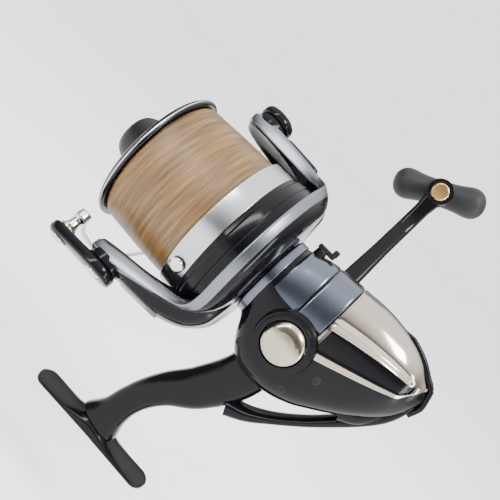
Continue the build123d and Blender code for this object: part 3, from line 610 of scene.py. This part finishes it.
height = maths("SUBTRACT", split.outputs["Z"], AXIS_HEIGHT / 1000)
turn = maths("ARCTAN2", height, split.outputs["Y"])
ridges = []
for lean, pitch in ((0.0004, 0.00062), (-0.0005, 0.00075)):
    drift = maths("ADD", split.outputs["X"], maths("MULTIPLY", turn, lean))
    phase = maths("MULTIPLY", drift, 2 * math.pi / pitch)
    ridges.append(maths("MULTIPLY", maths("ADD", maths("SINE", phase), 1.0), 0.5))
ridge = maths("MAXIMUM", ridges[0], ridges[1])
streaks = []
for across, along in ((700, 1.6), (260, 0.9)):
    stretch = tree.nodes.new("ShaderNodeCombineXYZ")
    tree.links.new(maths("MULTIPLY", split.outputs["X"], across), stretch.inputs[0])
    tree.links.new(maths("MULTIPLY", split.outputs["Y"], along * 22), stretch.inputs[1])
    tree.links.new(maths("MULTIPLY", height, along * 22), stretch.inputs[2])
    noise = tree.nodes.new("ShaderNodeTexNoise")
    noise.inputs["Scale"].default_value = 1.0
    noise.inputs["Detail"].default_value = 5
    noise.inputs["Roughness"].default_value = 0.65
    tree.links.new(stretch.outputs[0], noise.inputs["Vector"])
    streaks.append(noise.outputs["Fac"])
shade = tree.nodes.new("ShaderNodeValToRGB")
shade.color_ramp.elements[0].position = 0.30
shade.color_ramp.elements[0].color = (0.005, 0.002, 0.0005, 1)
shade.color_ramp.elements[1].position = 0.82
shade.color_ramp.elements[1].color = (0.30, 0.160, 0.034, 1)
middle = shade.color_ramp.elements.new(0.55)
middle.color = (0.080, 0.037, 0.007, 1)
blotches = maths("ADD", maths("MULTIPLY", streaks[0], 0.5), maths("MULTIPLY", streaks[1], 0.35))
# the ridge term paints shade into the grooves between windings; the streaks are random tone of the line
tone_and_groove_shade = maths("ADD", maths("MULTIPLY", ridge, 0.22), blotches)
tree.links.new(tone_and_groove_shade, shade.inputs["Fac"])
tree.links.new(shade.outputs["Color"], bsdf.inputs["Base Color"])
bsdf.inputs["Roughness"].default_value = 0.42
bump = tree.nodes.new("ShaderNodeBump")
bump.inputs["Strength"].default_value = 0.5
bump.inputs["Distance"].default_value = 0.0002
tree.links.new(tone_and_groove_shade, bump.inputs["Height"])
tree.links.new(bump.outputs["Normal"], bsdf.inputs["Normal"])
PACK = [(60.1, 25.1), (60.1, 35.3), (60.9, 35.9), (70, 35.9), (85, 35.3), (97, 34.6), (100.0, 34.1), (100.7, 33.4),
        (100.7, 25.1)]
build("line", [lathe(PACK, round_by=0.8, count=256)], "spool", LINE, ["line_pack"])

# ---- line clip on the band ----
# A round nickel-plated button on a spring stem that runs through the band's wall. The line's end is
# caught under its head.
CLIP_TURN = math.radians(-30)


def clip(points):
    """Turns points drawn at +Y to the clip's place round the spool axis."""
    x, y, z = np.asarray(points, float).T
    c, s = math.cos(CLIP_TURN), math.sin(CLIP_TURN)
    return np.column_stack([x, y * c - z * s, y * s + z * c])


BUTTON = [(37.6, 0), (37.6, 2.3), (38.7, 2.3), (38.7, 3.7), (39.5, 3.7), (40.2, 2.6), (40.5, 0)]
build("clip_button", [lathe(BUTTON, "y", (54.7, 0, 0), 64, 0.3, False)], "spool", NICKEL, ["line_clip"],
      clip)

# ---- drag knob ----
# Black moulded knob, screwed on the shaft's end over the drag stack, with twelve finger flutes round its
# base and a plain nose.
KNOB_PROFILE = rounded([(104.7, 0), (104.7, 15.0), (106.4, 16.2), (109.8, 15.9), (111.8, 13.8), (117.5, 11.8),
                        (120.2, 10.0), (121.5, 7.0), (121.5, 0)], 1.2, False)
KNOB_RINGS = []
a = np.linspace(0, 2 * math.pi, 240, endpoint=False)
for x, r in KNOB_PROFILE:
    base = np.clip((r - 12.5) / 2.5, 0, 1) * np.clip((110.6 - x) / 2, 0, 1)
    flute = 1.3 * base * np.maximum(0, np.cos(12 * a)) ** 2
    KNOB_RINGS.append(np.column_stack([np.full(240, x), (r - flute) * np.cos(a), (r - flute) * np.sin(a)]))
build("drag_cap", [outward(loft(KNOB_RINGS[1:-1]))], "drag_knob", SATIN_BLACK, ["drag_knob"])

# ---- crank: shank, bent arm and knob spindle ----
# Black-lacquered alloy arm, hinged at its root and bent outwards so that it clears the turning bail. A
# bronze-plated spindle head sits in its end boss.
BRONZE = finish_material("bronze", (0.48, 0.29, 0.11), 1.0, 0.27)
END_Y, END_Z = -42.5, 84.0
BEND = smooth_path(rounded([(-40.8, -18.5), (-40.8, -5), (-40.8 + END_Y, 61), (-41.3 + END_Y, 84)], 16, False,
                           14), 90)
run = np.gradient(BEND, axis=0)
run /= np.linalg.norm(run, axis=1)[:, None]
ARM_RINGS = []
for (y, z), (dy, dz) in zip(BEND, run):
    wide = np.interp(z, [-18.5, -10, 10, 40, 70, 76, 84], [5.2, 6.6, 5.4, 4.4, 4.3, 5.0, 5.4])
    thick = np.interp(z, [-18.5, 10, 84], [3.6, 3.0, 2.6])
    ring = superellipse(wide, thick, 3.2, 48)
    ARM_RINGS.append(np.column_stack([ring[:, 0], y + dz * ring[:, 1], z - dy * ring[:, 1]]))
END = lathe([(END_Y - 44.2, 2.7), (END_Y - 44.2, 7.3), (END_Y - 38.2, 7.3), (END_Y - 38.2, 5.3),
             (END_Y - 40.1, 5.3), (END_Y - 40.1, 2.7)], "y", (0, 0, END_Z), 96, 0.5)
build("crank_arm", [outward(loft(ARM_RINGS)), END], "crank", BLACK, ["handle_arm"])
HEAD = [(-37.9, 0), (-37.9, 4.2), (-38.6, 5.1), (-40.1, 5.1), (-40.1, 2.5), (-44.2, 2.5), (-44.2, 4.2),
        (-45.4, 4.2), (-45.4, 2.0), (-66, 2.0), (-66, 0)]
build("spindle_head", [lathe(HEAD, "y", (0, END_Y, END_Z), 96, 0.3, False)], "crank", BRONZE,
      ["knob_spindle"])

# ---- T-bar knob ----
# Matte black rubber moulded over a nylon core: a round neck that grows into a bar with swollen ends.
RUBBER = finish_material("rubber", (0.007, 0.007, 0.008), 0.0, 0.55, shine=0.3, grain=0.3)
LEAN = math.radians(26.5)
BAR_RINGS = []
for t in np.linspace(-1, 1, 97):
    x = 27 * math.sin(t * math.pi / 2)
    close = math.sqrt(max(0.0, 1 - (abs(x) / 27.0) ** 9))
    thick = (7.6 + 1.7 * math.exp(-((abs(x) - 20) / 8) ** 2)) * max(close, 0.02)
    ring = superellipse(thick, thick * 0.96, 2.2, 48)
    BAR_RINGS.append(np.column_stack([x * math.cos(LEAN) + ring[:, 0] * math.sin(LEAN), ring[:, 1] - 60.5 + END_Y,
                                      -x * math.sin(LEAN) + ring[:, 0] * math.cos(LEAN) + END_Z]))
NECK = lathe([(-45.8, 4.5), (-45.8, 6.0), (-47, 6.4), (-51, 6.9), (-56, 8.4), (-60, 8.4), (-60, 4.5)], "y",
             (0, END_Y, END_Z), 96, 0.8)
build("tbar", [outward(loft(BAR_RINGS)), NECK], "knob", RUBBER, ["knob_grip"])

# ---- pieces inside: gears, bearings, shafts, the shuttle and the drag stack ----
# Steel, brass, zinc, nylon and felt pieces that stay as the CAD has them. Each takes the finish of its
# own stuff.
BRASS = finish_material("brass", (0.62, 0.46, 0.22), 1.0, 0.3)
ZINC = finish_material("zinc", (0.4, 0.4, 0.41), 1.0, 0.45)
NYLON = finish_material("nylon", (0.62, 0.61, 0.56), 0.0, 0.5)
FELT = finish_material("felt", (0.03, 0.03, 0.034), 0.0, 0.9, grain=0.5)
CAD_LOOKS = {
    "gloss_black": BLACK, "gunmetal": GUNMETAL, "champagne_plate": CHAMPAGNE, "nickel": NICKEL,
    "silver_alloy": SILVER, "steel": STEEL, "zinc": ZINC, "brass": BRASS, "bronze": BRONZE, "nylon": NYLON,
    "matte_black": SATIN_BLACK, "rubber": RUBBER, "line": NYLON, "felt": FELT,
}
for part in frame["record"]["subparts"]:
    node = frame["nodes"][part["node"]]
    node.data.materials.clear()
    node.data.materials.append(CAD_LOOKS[part["material_slot"]])

# ---- sizes, floor, light and camera ----
# A pale floor, three soft boxes and a bright dome that darkens towards the ground, so that the glossy
# black has something to mirror.
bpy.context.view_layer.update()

bpy.ops.mesh.primitive_plane_add(size=80, location=(0, 0, -0.06))
floor = bpy.context.object
floor.name = "floor"
pale = bpy.data.materials.new("pale")
pale.use_nodes = True
pale.node_tree.nodes["Principled BSDF"].inputs["Base Color"].default_value = (0.93, 0.93, 0.93, 1)
pale.node_tree.nodes["Principled BSDF"].inputs["Roughness"].default_value = 0.9
floor.data.materials.append(pale)

world = bpy.data.worlds.new("studio")
world.use_nodes = True
world.node_tree.nodes["Background"].inputs["Color"].default_value = (1, 1, 1, 1)
sky = world.node_tree.nodes.new("ShaderNodeTexCoord")
parts = world.node_tree.nodes.new("ShaderNodeSeparateXYZ")
rise = world.node_tree.nodes.new("ShaderNodeMapRange")
rise.interpolation_type = "SMOOTHSTEP"
rise.inputs["From Min"].default_value = 0.15
rise.inputs["From Max"].default_value = 0.9
rise.inputs["To Min"].default_value = 0.3
rise.inputs["To Max"].default_value = 3.2
path = world.node_tree.nodes.new("ShaderNodeLightPath")
pick = world.node_tree.nodes.new("ShaderNodeMix")
pick.inputs["B"].default_value = 2.1
world.node_tree.links.new(sky.outputs["Generated"], parts.inputs[0])
world.node_tree.links.new(parts.outputs["Z"], rise.inputs["Value"])
world.node_tree.links.new(path.outputs["Is Camera Ray"], pick.inputs["Factor"])
world.node_tree.links.new(rise.outputs["Result"], pick.inputs["A"])
world.node_tree.links.new(pick.outputs["Result"], world.node_tree.nodes["Background"].inputs["Strength"])
bpy.context.scene.world = world


def softbox(name, where, aim, size, power):
    """A rectangular area light that faces a point."""
    light = bpy.data.lights.new(name, "AREA")
    light.shape = "RECTANGLE"
    light.size, light.size_y = size
    light.energy = power
    lamp = bpy.data.objects.new(name, light)
    bpy.context.scene.collection.objects.link(lamp)
    lamp.location = where
    lamp.rotation_euler = (Vector(aim) - Vector(where)).to_track_quat("-Z", "Y").to_euler()
    return lamp


CENTRE = (0.0, 0.0, 0.11)
softbox("key", (-0.5, 0.5, 0.9), CENTRE, (0.35, 0.35), 16)
softbox("strip", (0.5, 0.75, 0.6), CENTRE, (0.12, 0.9), 10)
softbox("rear", (-0.9, 0.2, 0.25), CENTRE, (0.15, 0.6), 6)

camera = bpy.data.cameras.new("camera")
camera.lens = 49.4
camera.sensor_width = 36.0
eye = bpy.data.objects.new("camera", camera)
bpy.context.scene.collection.objects.link(eye)
RIGHT = Vector((-0.6865, -0.2257, 0.6912)).normalized()
UP = Vector((0.716, -0.0443, 0.6967))
UP = (UP - RIGHT * UP.dot(RIGHT)).normalized()
turned = Matrix((RIGHT, UP, RIGHT.cross(UP))).transposed()
spot = Vector((CRANK_X + 1.2, 308.1, AXIS_HEIGHT + 61.9)) / 1000
eye.matrix_world = Matrix.Translation(spot) @ turned.to_4x4()
camera.clip_start = 0.01
bpy.context.scene.camera = eye
